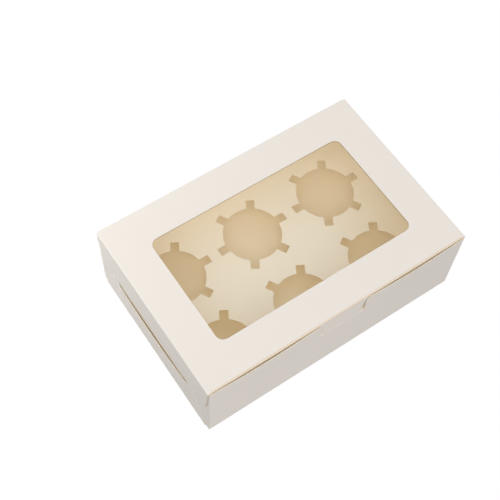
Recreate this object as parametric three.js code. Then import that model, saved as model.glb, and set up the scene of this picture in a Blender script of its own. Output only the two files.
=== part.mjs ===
import * as THREE from "three";

// A windowed folding carton for six cupcakes with a punched card insert, in millimetres.
// +X runs along the long front, +Y to the back where the lid hinges, +Z up.
// The origin is the centre of the underside.

// Outside of the closed carton
const LENGTH = 240;
const WIDTH = 160;
const HEIGHT = 75;

// Board, its creases and the air between layers
const BOARD = 0.5;
const CREASE_RADIUS = 1.2;
const LAYER_GAP = 0.3;

// Window in the lid and the clear film behind it
const WINDOW_LENGTH = 180;
const WINDOW_WIDTH = 100;
const WINDOW_CORNER = 9;
const FILM = 0.2;
const FILM_OVERLAP = 10;
const FILM_CORNER = 4;

// Front wall: its free top edge bows out on both sides of a tongue between two slits
const FRONT_BOW = 1.1;
const SLIT_OFFSET = 21;
const SLIT_WIDTH = 0.6;
const SLIT_DEPTH = 21;
const LEAD_IN_WIDTH = 5;
const LEAD_IN_DROP = 10;

// Dust flaps, folded from the front and back walls over the short sides
const DUST_LENGTH = 62;
const DUST_TOP_DROP = 6;
const DUST_FOOT_RISE = 3;
const DUST_CORNER = 7;

// End flaps, folded up from the bottom, each with a pocket mouth at its lip
const END_HEIGHT = 37.5;
const END_FOOT = 75;
const END_TAPER = THREE.MathUtils.degToRad(24.4);
const END_CORNER = 6;
const POCKET_SLACK = 1.0;

// Side flaps of the lid and the tongues that enter the pockets
const FLAP_END_INSET = 4.5;
const FLAP_END_RISE = 5.5;
const FLAP_CORNER = 4;
const SHOULDER_GAP = 0.4;
const TONGUE_ROOT = 46;
const TONGUE_TIP = 38;
const TONGUE_DEPTH = 13.5;
const TONGUE_CORNER = 9;

// Tuck flap at the front of the lid; its middle stays in front of the wall's tongue
const TUCK_INSET = 2.7;
const TUCK_DEPTH = 17.7;
const TUCK_CORNER = 10;
const TAB_BLEND = 8;
const CORNER_RELIEF = 0.5;

// Clearance of the lid's back edge from the hinge line
const HINGE_GAP = 0.3;

// Card insert with notched holes
const INSERT_HEIGHT = 21.3;
const INSERT_PLAY = 0.7;
const LEG_PLAY = 0.3;
const HOLES_ALONG = 3;
const HOLES_ACROSS = 2;
const HOLE_MARGIN = 9.4;
const HOLE_WEB = 9.6;
const PITCH_ACROSS = 74.3;
const NOTCHES = 6;
const NOTCH_LENGTH = 8;
const NOTCH_WIDTH = 7.5;

// Fineness of the curves
const FOLD_STEPS = 3;
const CORNER_STEPS = 5;
const TAB_STEPS = 12;
const HALF_STEPS = 8;
const LOWER_ROWS = 4;
const UPPER_ROWS = 4;
const END_LIP_STEPS = 14;
const END_ROWS = 7;
const TUCK_ROWS = 4;
const RIM_STEPS = 4;
const WELD = 1e-3;

// Places worked out from the sizes above
const halfLength = LENGTH / 2;
const halfWidth = WIDTH / 2;
const layer = BOARD + LAYER_GAP;
const wallTop = HEIGHT - layer;
const dustFace = halfLength - layer;
const wallEnd = dustFace - CREASE_RADIUS;
const wallFoot = halfWidth - CREASE_RADIUS;
const floorEnd = halfLength - CREASE_RADIUS;
const slitFoot = HEIGHT - SLIT_DEPTH;
const slitInner = SLIT_OFFSET - SLIT_WIDTH / 2;
const slitOuter = SLIT_OFFSET + SLIT_WIDTH / 2;
const lidFront = halfWidth - layer;
const tuckEnd = wallEnd - TUCK_INSET;
const tuckFoot = HEIGHT - TUCK_DEPTH;
const tuckRadius = halfWidth + lidFront;
const tongueTip = END_HEIGHT - TONGUE_DEPTH;
const flapBack = halfWidth - HINGE_GAP - CORNER_RELIEF;
const deckEnd = dustFace - BOARD - INSERT_PLAY;
const webs = HOLE_WEB * (HOLES_ALONG - 1);
const notchReach = (2 * (deckEnd - HOLE_MARGIN) - webs) / (2 * HOLES_ALONG);
const holeRadius = notchReach - NOTCH_LENGTH;
const pitchAlong = 2 * notchReach + HOLE_WEB;

const rightAngle = Math.PI / 2;
const foldAngles = span(0, rightAngle, FOLD_STEPS);
const cornerAngles = span(0, rightAngle, CORNER_STEPS);

function span(from, to, steps) {
  return Array.from({ length: steps + 1 }, (_, i) => from + ((to - from) * i) / steps);
}

// A smooth step from 0 at t = 0 to 1 at t = 1
function ease(t) {
  const s = THREE.MathUtils.clamp(t, 0, 1);
  return s * s * (3 - 2 * s);
}

// Corners given as [x, y, radius], joined by straight lines and rounded by arcs
function rounded(corners) {
  return corners.flatMap(([x, y, radius = 0], i) => {
    const here = new THREE.Vector2(x, y);
    if (radius === 0) {
      return [here];
    }
    const before = corners.at(i - 1);
    const after = corners[(i + 1) % corners.length];
    const back = new THREE.Vector2(before[0], before[1]).sub(here).normalize();
    const on = new THREE.Vector2(after[0], after[1]).sub(here).normalize();
    const half = Math.acos(back.dot(on)) / 2;
    const middle = back.clone().add(on).setLength(radius / Math.sin(half)).add(here);
    const start = back.clone().multiplyScalar(radius / Math.tan(half)).add(here).sub(middle);
    const turn = -Math.sign(back.cross(on)) * (Math.PI - 2 * half);
    return span(0, turn, CORNER_STEPS).map((angle) => {
      return start.clone().rotateAround(new THREE.Vector2(), angle).add(middle);
    });
  });
}

// A patch is a piece of a sheet's outer face: points, outward normals and triangles.
// Its triangles are turned, if need be, to face the way that the normals point.
function makePatch(points, normals, faces) {
  const sum = faces.reduce((total, [a, b, c]) => {
    const ab = points[b].clone().sub(points[a]);
    const ac = points[c].clone().sub(points[a]);
    return total + ab.cross(ac).dot(normals[a]);
  }, 0);
  const facing = sum < 0 ? faces.map(([a, b, c]) => [a, c, b]) : faces;
  return { points, normals, faces: facing };
}

// A patch over a grid of parameters
function gridPatch(us, vs, place, normal) {
  const points = vs.flatMap((v) => us.map((u) => place(u, v)));
  const normals = vs.flatMap((v) => us.map((u) => normal(u, v)));
  const faces = [];
  const row = us.length;
  for (let j = 0; j < vs.length - 1; j += 1) {
    for (let i = 0; i < row - 1; i += 1) {
      const a = j * row + i;
      faces.push([a, a + 1, a + row + 1], [a, a + row + 1, a + row]);
    }
  }
  return makePatch(points, normals, faces);
}

// A flat patch inside an outline, with holes
function flatPatch(outline, holes, place, normal) {
  const points = [outline, ...holes].flat().map((p) => place(p.x, p.y));
  const normals = points.map(() => normal);
  return makePatch(points, normals, THREE.ShapeUtils.triangulateShape(outline, holes));
}

// One closed solid from patches that meet edge to edge: the outer face, the same face set in
// by the board's thickness, and a rim along every edge that only one triangle has.
function thicken(patches) {
  const outer = [];
  const inner = [];
  const faces = [];
  const known = new Map();
  for (const { points, normals, faces: own } of patches) {
    const index = points.map((point, i) => {
      const key = point.toArray().map((value) => Math.round(value / WELD)).join(" ");
      if (!known.has(key)) {
        known.set(key, outer.length);
        outer.push(point);
        inner.push(point.clone().addScaledVector(normals[i], -BOARD));
      }
      return known.get(key);
    });
    faces.push(...own.map((face) => face.map((i) => index[i])));
  }
  const count = outer.length;
  const sides = ([a, b, c]) => [[a, b], [b, c], [c, a]];
  const directed = new Set(faces.flatMap(sides).map(([p, q]) => `${p} ${q}`));
  const triangles = faces.flatMap((face) => {
    const [a, b, c] = face;
    const open = sides(face).filter(([p, q]) => !directed.has(`${q} ${p}`));
    const rim = open.flatMap(([p, q]) => [q, p, p + count, q, p + count, q + count]);
    return [a, b, c, c + count, b + count, a + count, ...rim];
  });
  const geometry = new THREE.BufferGeometry().setFromPoints([...outer, ...inner]);
  geometry.setIndex(triangles);
  geometry.computeVertexNormals();
  return geometry;
}

// Each half of the front wall bows out between its slit and its corner, more towards the top
function frontBow(x, z) {
  const along = (Math.abs(x) - slitOuter) / (wallEnd - slitOuter);
  const up = (z - CREASE_RADIUS) / (wallTop - CREASE_RADIUS);
  return along < 0 ? 0 : FRONT_BOW * Math.sin(Math.PI * along) * up * up;
}

// How far the lid's tuck flap stands in from the front fold: it follows a circle about the
// hinge line, so that it slides out past the wall, and its middle leans out to the wall's face
function tuckInset(x, z) {
  const sag = (depth) => tuckRadius - Math.sqrt(tuckRadius ** 2 - depth ** 2);
  const wing = sag(HEIGHT - z) - sag(CREASE_RADIUS);
  const middle = (-layer * (HEIGHT - CREASE_RADIUS - z)) / (TUCK_DEPTH - CREASE_RADIUS);
  return THREE.MathUtils.lerp(wing, middle, ease((slitInner - Math.abs(x)) / TAB_BLEND));
}

// The wall's tongue leans in from its crease and then lies one layer behind the tuck flap
function tongueInset(x, z) {
  const behind = layer + layer;
  const lean = (z - slitFoot) / (tuckFoot - slitFoot);
  const flat = behind + tuckInset(x, Math.max(z, tuckFoot));
  return z < tuckFoot ? flat * lean : flat;
}

// The end flap is pushed out by the tongue in its pocket, most at the middle of its lip
function pocketBulge(y, z) {
  const pocketEnd = endLipCentre();
  const mouth = ease((pocketEnd - Math.abs(y)) / (pocketEnd - TONGUE_ROOT)) * layer;
  const slack = POCKET_SLACK * Math.max(0, 1 - (y / pocketEnd) ** 2);
  const up = Math.min(1, (z - CREASE_RADIUS) / (tongueTip - CREASE_RADIUS));
  return (mouth + slack) * Math.sin(up * rightAngle);
}

// Where the lip's rounded corner starts, tangent to the lip and to the slanted side
function endLipCentre() {
  const rise = (END_HEIGHT - END_CORNER) * Math.sin(END_TAPER);
  return END_FOOT - (END_CORNER + rise) / Math.cos(END_TAPER);
}

// The end flap's columns: its foot on the crease and its head on the lip or the lip's corner
function endColumns() {
  const centre = endLipCentre();
  const corner = span(0, rightAngle - END_TAPER, CORNER_STEPS).slice(1).map((angle) => {
    const y = centre + END_CORNER * Math.sin(angle);
    return [y, END_HEIGHT - END_CORNER * (1 - Math.cos(angle))];
  });
  const lip = span(-centre, centre, END_LIP_STEPS).map((y) => [y, END_HEIGHT]);
  const mirrored = corner.map(([y, z]) => [-y, z]).reverse();
  const heads = [...mirrored, ...lip, ...corner];
  const scale = END_FOOT / heads.at(-1)[0];
  return heads.map(([y, z]) => ({ foot: y * scale, head: new THREE.Vector2(y, z) }));
}

// Columns of the front wall's left and right halves, with their height at the lead-in curve
function halfColumns(side) {
  const leadIn = cornerAngles.map((angle) => ({
    x: side * (slitOuter + LEAD_IN_WIDTH * (1 - Math.cos(angle))),
    top: wallTop - LEAD_IN_DROP * (1 - Math.sin(angle)),
  }));
  const straight = span(slitOuter + LEAD_IN_WIDTH, wallEnd, HALF_STEPS).slice(1);
  return [...leadIn, ...straight.map((x) => ({ x: side * x, top: wallTop }))];
}

function baseGeometry() {
  const left = halfColumns(-1);
  const right = halfColumns(1);
  const tab = span(-slitInner, slitInner, TAB_STEPS);
  const columns = [...left.map(({ x }) => x).reverse(), ...tab, ...right.map(({ x }) => x)];
  const lower = span(CREASE_RADIUS, slitFoot, LOWER_ROWS);
  const upper = span(0, 1, UPPER_ROWS);
  const frontRows = [...lower, ...span(slitFoot, wallTop, UPPER_ROWS).slice(1)];
  const backRows = [CREASE_RADIUS, wallTop];
  const ends = endColumns();
  const feet = ends.map(({ foot }) => foot);
  const facing = (x, y, z) => () => new THREE.Vector3(x, y, z);

  const patches = [];

  // Bottom panel, cut off at its corners between the wall and end flap creases
  const point2 = (x, y) => new THREE.Vector2(x, y);
  const floor = [
    ...columns.map((x) => point2(x, -wallFoot)),
    ...feet.map((y) => point2(floorEnd, y)),
    ...[wallEnd, -wallEnd].map((x) => point2(x, wallFoot)),
    ...feet.toReversed().map((y) => point2(-floorEnd, y)),
  ];
  const flatOnFloor = (x, y) => new THREE.Vector3(x, y, 0);
  patches.push(flatPatch(floor, [], flatOnFloor, new THREE.Vector3(0, 0, -1)));

  // Creases from the bottom into the front and back walls
  const wallCrease = (side) => (x, angle) => {
    const y = side * (wallFoot + CREASE_RADIUS * Math.sin(angle));
    return new THREE.Vector3(x, y, CREASE_RADIUS * (1 - Math.cos(angle)));
  };
  const wallCreaseNormal = (side) => (x, angle) => {
    return new THREE.Vector3(0, side * Math.sin(angle), -Math.cos(angle));
  };
  patches.push(gridPatch(columns, foldAngles, wallCrease(-1), wallCreaseNormal(-1)));
  patches.push(gridPatch([-wallEnd, wallEnd], foldAngles, wallCrease(1), wallCreaseNormal(1)));

  // Front wall below the slits, its two halves and its tongue, then the back wall
  const frontPoint = (x, z) => new THREE.Vector3(x, -halfWidth - frontBow(x, z), z);
  const front = facing(0, -1, 0);
  patches.push(gridPatch(columns, lower, frontPoint, front));
  for (const half of [left, right]) {
    const halfPoint = ({ x, top }, v) => frontPoint(x, THREE.MathUtils.lerp(slitFoot, top, v));
    patches.push(gridPatch(half, upper, halfPoint, front));
  }
  const tonguePoint = (x, z) => new THREE.Vector3(x, -halfWidth + tongueInset(x, z), z);
  const tongueRows = [slitFoot, ...span(tuckFoot, wallTop, UPPER_ROWS)];
  patches.push(gridPatch(tab, tongueRows, tonguePoint, front));
  const backPoint = (x, z) => new THREE.Vector3(x, halfWidth, z);
  patches.push(gridPatch([-wallEnd, wallEnd], backRows, backPoint, facing(0, 1, 0)));

  for (const sideX of [-1, 1]) {
    // Upright corner creases and the dust flaps behind the short sides
    for (const sideY of [-1, 1]) {
      const rows = sideY < 0 ? frontRows : backRows;
      const cornerPoint = (angle, z) => {
        const x = sideX * (wallEnd + CREASE_RADIUS * Math.sin(angle));
        return new THREE.Vector3(x, sideY * (wallFoot + CREASE_RADIUS * Math.cos(angle)), z);
      };
      const cornerNormal = (angle) => {
        return new THREE.Vector3(sideX * Math.sin(angle), sideY * Math.cos(angle), 0);
      };
      patches.push(gridPatch(foldAngles, rows, cornerPoint, cornerNormal));
      const dust = [
        ...rows.toReversed().map((z) => point2(0, z)),
        ...dustFreeEdge(),
      ];
      const dustPoint = (run, z) => {
        return new THREE.Vector3(sideX * dustFace, sideY * (wallFoot - run), z);
      };
      patches.push(flatPatch(dust, [], dustPoint, new THREE.Vector3(sideX, 0, 0)));
    }

    // Crease from the bottom into the end flap, and the end flap with its bulging lip
    const endCrease = (y, angle) => {
      const x = sideX * (floorEnd + CREASE_RADIUS * Math.sin(angle));
      return new THREE.Vector3(x, y, CREASE_RADIUS * (1 - Math.cos(angle)));
    };
    const endCreaseNormal = (y, angle) => {
      return new THREE.Vector3(sideX * Math.sin(angle), 0, -Math.cos(angle));
    };
    patches.push(gridPatch(feet, foldAngles, endCrease, endCreaseNormal));
    const endPoint = ({ foot, head }, v) => {
      const { x: y, y: z } = point2(foot, CREASE_RADIUS).lerp(head, v);
      return new THREE.Vector3(sideX * (halfLength + pocketBulge(y, z)), y, z);
    };
    patches.push(gridPatch(ends, span(0, 1, END_ROWS), endPoint, facing(sideX, 0, 0)));
  }
  return thicken(patches);
}

// The dust flap's outline past its crease, as distance from the crease and height
function dustFreeEdge() {
  const corners = [
    [0, CREASE_RADIUS],
    [DUST_LENGTH, CREASE_RADIUS + DUST_FOOT_RISE, DUST_CORNER],
    [DUST_LENGTH, wallTop - DUST_TOP_DROP, DUST_CORNER],
    [0, wallTop],
  ];
  return rounded(corners).slice(1, -1);
}

// The side flap's outline below its crease: two shoulders over the lip and the tongue between
function sideFlapOutline() {
  const shoulder = END_HEIGHT + SHOULDER_GAP;
  const top = HEIGHT - CREASE_RADIUS;
  const end = halfWidth - FLAP_END_INSET;
  const endHeight = END_HEIGHT + FLAP_END_RISE;
  return rounded([
    [-lidFront, top],
    [-end, endHeight, FLAP_CORNER],
    [-TONGUE_ROOT, shoulder],
    [-TONGUE_TIP, tongueTip, TONGUE_CORNER],
    [TONGUE_TIP, tongueTip, TONGUE_CORNER],
    [TONGUE_ROOT, shoulder],
    [end, endHeight, FLAP_CORNER],
    [flapBack, top],
  ]);
}

// Columns of the tuck flap with their lower end, rounded at the two outer corners
function tuckColumns() {
  const start = tuckEnd - TUCK_CORNER;
  const corner = cornerAngles.map((angle) => ({
    x: start + TUCK_CORNER * Math.sin(angle),
    foot: tuckFoot + TUCK_CORNER * (1 - Math.cos(angle)),
  }));
  const straight = span(slitInner, start, HALF_STEPS).slice(1, -1);
  const wing = [...straight.map((x) => ({ x, foot: tuckFoot })), ...corner];
  const tab = span(-slitInner, slitInner, TAB_STEPS).map((x) => ({ x, foot: tuckFoot }));
  return [...wing.map(({ x, foot }) => ({ x: -x, foot })).reverse(), ...tab, ...wing];
}

function windowOutline(overlap, corner) {
  const x = WINDOW_LENGTH / 2 + overlap;
  const y = WINDOW_WIDTH / 2 + overlap;
  return rounded([[-x, -y, corner], [x, -y, corner], [x, y, corner], [-x, y, corner]]);
}

function lidGeometry() {
  const tuck = tuckColumns();
  const point2 = (x, y) => new THREE.Vector2(x, y);
  const foldLine = CREASE_RADIUS - lidFront;
  const hingeEdge = halfWidth - HINGE_GAP;

  // Top panel with the window
  const top = [
    ...tuck.map(({ x }) => point2(x, foldLine)),
    point2(tuckEnd + CORNER_RELIEF, -lidFront),
    point2(floorEnd, -lidFront),
    point2(floorEnd, flapBack),
    point2(floorEnd - CORNER_RELIEF, hingeEdge),
    point2(CORNER_RELIEF - floorEnd, hingeEdge),
    point2(-floorEnd, flapBack),
    point2(-floorEnd, -lidFront),
    point2(-tuckEnd - CORNER_RELIEF, -lidFront),
  ];
  const window = windowOutline(0, WINDOW_CORNER);
  const flatOnTop = (x, y) => new THREE.Vector3(x, y, HEIGHT);
  const patches = [flatPatch(top, [window], flatOnTop, new THREE.Vector3(0, 0, 1))];

  // Front crease and the tuck flap
  const columns = tuck.map(({ x }) => x);
  const drop = (angle) => HEIGHT - CREASE_RADIUS * (1 - Math.cos(angle));
  const frontCrease = (x, angle) => {
    return new THREE.Vector3(x, foldLine - CREASE_RADIUS * Math.sin(angle), drop(angle));
  };
  const frontNormal = (x, angle) => new THREE.Vector3(0, -Math.sin(angle), Math.cos(angle));
  patches.push(gridPatch(columns, foldAngles, frontCrease, frontNormal));
  const tuckPoint = ({ x, foot }, v) => {
    const z = THREE.MathUtils.lerp(HEIGHT - CREASE_RADIUS, foot, v);
    return new THREE.Vector3(x, tuckInset(x, z) - lidFront, z);
  };
  const tuckNormal = () => new THREE.Vector3(0, -1, 0);
  patches.push(gridPatch(tuck, span(0, 1, TUCK_ROWS), tuckPoint, tuckNormal));

  // Side creases and the side flaps
  for (const side of [-1, 1]) {
    const sideCrease = (y, angle) => {
      return new THREE.Vector3(side * (floorEnd + CREASE_RADIUS * Math.sin(angle)), y, drop(angle));
    };
    const sideNormal = (y, angle) => {
      return new THREE.Vector3(side * Math.sin(angle), 0, Math.cos(angle));
    };
    patches.push(gridPatch([-lidFront, flapBack], foldAngles, sideCrease, sideNormal));
    const flapPoint = (y, z) => new THREE.Vector3(side * halfLength, y, z);
    patches.push(flatPatch(sideFlapOutline(), [], flapPoint, new THREE.Vector3(side, 0, 0)));
  }
  return thicken(patches);
}

// One cupcake hole: a circle broken by straight notches that run outwards
function holeOutline(centreX, centreY) {
  const half = NOTCH_WIDTH / 2;
  const pitch = (2 * Math.PI) / NOTCHES;
  const edge = Math.asin(half / holeRadius);
  return Array.from({ length: NOTCHES }, (_, i) => i * pitch).flatMap((turn) => {
    const notch = [new THREE.Vector2(notchReach, -half), new THREE.Vector2(notchReach, half)];
    const rim = span(edge, pitch - edge, RIM_STEPS).map((angle) => {
      return new THREE.Vector2(Math.cos(angle), Math.sin(angle)).multiplyScalar(holeRadius);
    });
    const centre = new THREE.Vector2(centreX, centreY);
    return [...notch, ...rim].map((p) => p.rotateAround(new THREE.Vector2(), turn).add(centre));
  });
}

function insertGeometry() {
  const side = wallFoot - LEG_PLAY;
  const crease = side - CREASE_RADIUS;
  const legRows = [INSERT_HEIGHT - CREASE_RADIUS, layer];
  const ends = [-deckEnd, deckEnd];
  const centred = (count, pitch) => span((1 - count) / 2, (count - 1) / 2, count - 1)
    .map((step) => step * pitch);
  const holes = centred(HOLES_ALONG, pitchAlong).flatMap((x) => {
    return centred(HOLES_ACROSS, PITCH_ACROSS).map((y) => holeOutline(x, y));
  });
  const deck = [
    new THREE.Vector2(-deckEnd, -crease),
    new THREE.Vector2(deckEnd, -crease),
    new THREE.Vector2(deckEnd, crease),
    new THREE.Vector2(-deckEnd, crease),
  ];
  const onDeck = (x, y) => new THREE.Vector3(x, y, INSERT_HEIGHT);
  const patches = [flatPatch(deck, holes, onDeck, new THREE.Vector3(0, 0, 1))];
  for (const sideY of [-1, 1]) {
    const bend = (x, angle) => {
      const y = sideY * (crease + CREASE_RADIUS * Math.sin(angle));
      return new THREE.Vector3(x, y, INSERT_HEIGHT - CREASE_RADIUS * (1 - Math.cos(angle)));
    };
    const bendNormal = (x, angle) => {
      return new THREE.Vector3(0, sideY * Math.sin(angle), Math.cos(angle));
    };
    patches.push(gridPatch(ends, foldAngles, bend, bendNormal));
    const leg = (x, z) => new THREE.Vector3(x, sideY * side, z);
    const legNormal = () => new THREE.Vector3(0, sideY, 0);
    patches.push(gridPatch(ends, legRows, leg, legNormal));
  }
  return thicken(patches);
}

function filmGeometry() {
  const shape = new THREE.Shape(windowOutline(FILM_OVERLAP, FILM_CORNER));
  const geometry = new THREE.ExtrudeGeometry(shape, { depth: FILM, bevelEnabled: false });
  return geometry.translate(0, 0, wallTop - FILM);
}

const whiteBoard = { color: 0xeee9e0, roughness: 0.55, metalness: 0 };
const insideBoard = { color: 0xe4d9c6, roughness: 0.75, metalness: 0 };
const clearFilm = { color: 0xf4f6f6, roughness: 0.08, metalness: 0, transparent: true, opacity: 0.2 };

function piece(name, geometry, finish) {
  const mesh = new THREE.Mesh(geometry, new THREE.MeshStandardMaterial(finish));
  mesh.name = name;
  return mesh;
}

const carton = new THREE.Group();
carton.name = "cupcake_box";
carton.add(
  piece("carton_base", baseGeometry(), whiteBoard),
  piece("cupcake_insert", insertGeometry(), insideBoard),
  piece("lid", lidGeometry(), whiteBoard),
  piece("window_film", filmGeometry(), clearFilm),
);

export default carton;
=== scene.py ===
"""The looks of a windowed folding carton for six cupcakes.

Every sheet of board is a set of surfaces worked out on grids, joined edge to edge and given
the thickness of the board. Lengths are in metres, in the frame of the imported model.
"""

import math
from types import SimpleNamespace

import bpy
import numpy as np
from bpy.props import FloatProperty, FloatVectorProperty, PointerProperty
from bpy.types import Operator, Panel, PropertyGroup
from mathutils import Matrix, Vector


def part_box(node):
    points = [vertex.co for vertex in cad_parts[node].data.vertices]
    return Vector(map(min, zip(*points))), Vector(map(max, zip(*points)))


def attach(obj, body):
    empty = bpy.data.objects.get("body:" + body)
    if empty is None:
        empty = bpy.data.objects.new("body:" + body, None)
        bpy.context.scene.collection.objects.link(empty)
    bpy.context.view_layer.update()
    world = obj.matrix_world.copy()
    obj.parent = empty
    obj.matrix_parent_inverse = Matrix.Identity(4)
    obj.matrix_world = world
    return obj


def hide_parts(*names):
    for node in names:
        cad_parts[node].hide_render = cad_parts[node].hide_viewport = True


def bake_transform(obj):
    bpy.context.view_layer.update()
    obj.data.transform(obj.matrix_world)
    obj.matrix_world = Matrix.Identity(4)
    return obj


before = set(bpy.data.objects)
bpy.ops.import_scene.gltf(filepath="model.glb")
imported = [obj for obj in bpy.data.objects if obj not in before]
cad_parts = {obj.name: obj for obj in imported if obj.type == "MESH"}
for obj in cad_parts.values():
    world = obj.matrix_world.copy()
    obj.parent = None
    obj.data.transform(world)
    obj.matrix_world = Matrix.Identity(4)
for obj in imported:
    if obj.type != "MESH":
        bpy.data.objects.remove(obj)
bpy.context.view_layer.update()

bl_info = {
    "name": "Windowed cupcake carton",
    "version": (1, 0, 0),
    "blender": (4, 5, 0),
    "location": "View3D > Sidebar > Carton",
    "description": "Folded board, window film, punched insert and studio of a cupcake carton",
    "category": "Add Mesh",
}

# Points closer than WELD become one point. TINY stands for nothing in a division.
WELD = 1e-6
TINY = 1e-9
TINY_DIGITS = 9

RIGHT_ANGLE = math.pi / 2
SHARP_ANGLE = math.radians(40)
FOLD_STEPS = 8
ARC_STEPS = 10
GLUE_STEPS = 360
NEAR_FOLD = (0.0006, 0.0016)

# Rows of the grids as shares of their run, closer beside a fold.
TOP_ROWS = np.concatenate([np.linspace(0, 0.94, 10), [0.97, 1]])
FLAP_ROWS = np.concatenate([[0, 0.04], np.linspace(0.1, 1, 10)])
POCKET_ROWS = np.concatenate([[0, 0.02, 0.05], np.linspace(0.1, 1, 13)])
WALL_ROWS = np.linspace(0, 1, 9)
CARD_ROWS = np.linspace(0, 1, 7)
FILM_ROWS = np.linspace(-1, 1, 25)

# Where an end flap is drawn in against the dust flaps: from HELD_FROM of its lip's half length,
# fully after HELD_RUN of it, and fully at HELD_RISE crease radii above the crease.
HELD_FROM = 0.9
HELD_RUN = 0.15
HELD_RISE = 4

HOLES_ALONG = 3
NOTCHES = 6
NOTCH_TIP_POINTS = 5
NOTCH_GAP_POINTS = 9

FIBRE_STRETCH = (0.12, 1, 1)
FIBRE_BUMP = 0.6
GRAIN_BUMP = 0.35
ROUGHNESS_SPREAD = 0.06
BOARD_SPECULAR = 0.25

FLOOR_REACH = 6.0
FLOOR_DROP = 0.0001
LAMP_PLACE = (-0.90, -1.10, 2.27)
FAR_LAMP_PLACE = (0.80, 0.75, 2.45)
SIDE_LAMP_PLACE = (-0.40, 0.36, 0.19)
FRONT_LAMP_PLACE = (-0.15, -0.60, 0.065)

# Kinds of face. The window's cut edge has its own kind, painted dark as shade.
OUTER, INNER, EDGE, SHADED_WINDOW_EDGE = range(4)


def length(words, default):
    """A length that a user may change, in metres."""
    return FloatProperty(name=words.capitalize(), description=words, default=default,
                         min=0, precision=5, unit="LENGTH", subtype="DISTANCE")


def tilt(name, words, degrees):
    """An angle that a user may change, written here in degrees."""
    return FloatProperty(name=name, description=words, default=math.radians(degrees),
                         unit="ROTATION", subtype="ANGLE")


def amount(name, words, default):
    """A strength, share or power that a user may change."""
    return FloatProperty(name=name, description=words, default=default, min=0)


def colour(words, default):
    """A surface colour that a user may change, in linear light."""
    return FloatVectorProperty(name=words.capitalize(), description=words, default=default,
                               size=3, min=0, max=1, subtype="COLOR")


class CartonSizes(PropertyGroup):
    """Sizes of the board, its cuts and its creases. The outside sizes come from the frame."""

    board: length("thickness of the board", 0.0005)
    crease: length("outer radius of a crease", 0.0009)
    seam: length("air in a glued seam", 0.00004)
    cell: length("spacing of the grids", 0.003)

    window_length: length("length of the window", 0.180)
    window_width: length("width of the window", 0.100)
    window_corner: length("radius of the window's corners", 0.0065)
    film_corner: length("radius of the film's corners", 0.004)

    slit_offset: length("distance of a slit from the middle of the front", 0.021)
    slit_shift: length("distance of the tab from the middle of the front", 0.0017)
    slit_width: length("width of a slit", 0.0002)
    slit_depth: length("depth of a slit below the lid", 0.021)
    lead_in_width: length("width of the curve at the top of a slit", 0.005)
    lead_in_drop: length("depth of the curve at the top of a slit", 0.005)

    dust_length: length("length of a dust flap", 0.062)
    dust_top_drop: length("taper of a dust flap at its top", 0.006)
    dust_foot_rise: length("taper of a dust flap at its foot", 0.003)
    dust_corner: length("radius of a dust flap's corners", 0.007)

    end_height: length("height of an end flap", 0.0375)
    end_foot: length("half the length of an end flap's crease", 0.075)
    end_taper: tilt("End taper", "slant of an end flap's sides", 24.4)
    end_corner: length("radius of an end flap's corners", 0.006)

    flap_end_inset: length("slant of a side flap's ends", 0.0045)
    flap_end_rise: length("height of a side flap's ends above the pocket", 0.0055)
    flap_corner: length("radius of a side flap's corners", 0.004)
    shoulder_gap: length("gap between a side flap's shoulders and the pocket", 0.0004)
    glue_width: length("width of the glue that holds the film", 0.0015)
    tongue_root: length("half width of a tongue at the pocket", 0.046)
    tongue_tip: length("half width of a tongue at its tip", 0.038)
    tongue_corner: length("radius of a tongue's corners", 0.009)

    tuck_inset: length("distance of the tuck flap from the corner crease", 0.0027)
    tuck_depth: length("depth of the tuck flap", 0.0204)
    tuck_corner: length("radius of the tuck flap's corners", 0.010)
    tab_blend: length("width over which the tuck flap's middle leans out", 0.004)
    corner_relief: length("relief at the lid's corners", 0.0005)

    hole_margin: length("card between the outer notches and the insert's ends", 0.0094)
    hole_web: length("card between neighbouring notches", 0.0096)
    pitch_across: length("spacing of the rows of holes", 0.0743)
    notch_length: length("length of a notch", 0.008)
    notch_width: length("width of a notch", 0.0075)


class CartonFinish(PropertyGroup):
    """Colours of the board's coated face, its plain face, its cut edge and the insert."""

    coated: colour("coated outer face", (0.850, 0.815, 0.745))
    plain: colour("plain inner face", (0.910, 0.810, 0.620))
    edge: colour("cut edge", (0.850, 0.755, 0.610))
    insert: colour("insert's card", (0.930, 0.885, 0.770))
    # A painted glow: emission on the plain face and the insert, in place of light through the
    # board.
    painted_glow: colour("light that comes through the thin board", (0.066, 0.055, 0.034))
    # Painted shade: the window's cut edge is far darker than the other cut edges of the same
    # board.
    window: colour("cut edge of the window", (0.30, 0.20, 0.11))
    # Painted shade: a darker, yellower colour laid along the lid's front fold.
    fold_shade_tint: colour("tint of the front fold", (0.80, 0.70, 0.56))
    # Glue that holds the film, its dark brown painted shade under the window's edge.
    glue: colour("line of glue round the window", (0.20, 0.12, 0.06))
    film: colour("window film", (0.900, 0.905, 0.900))


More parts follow.
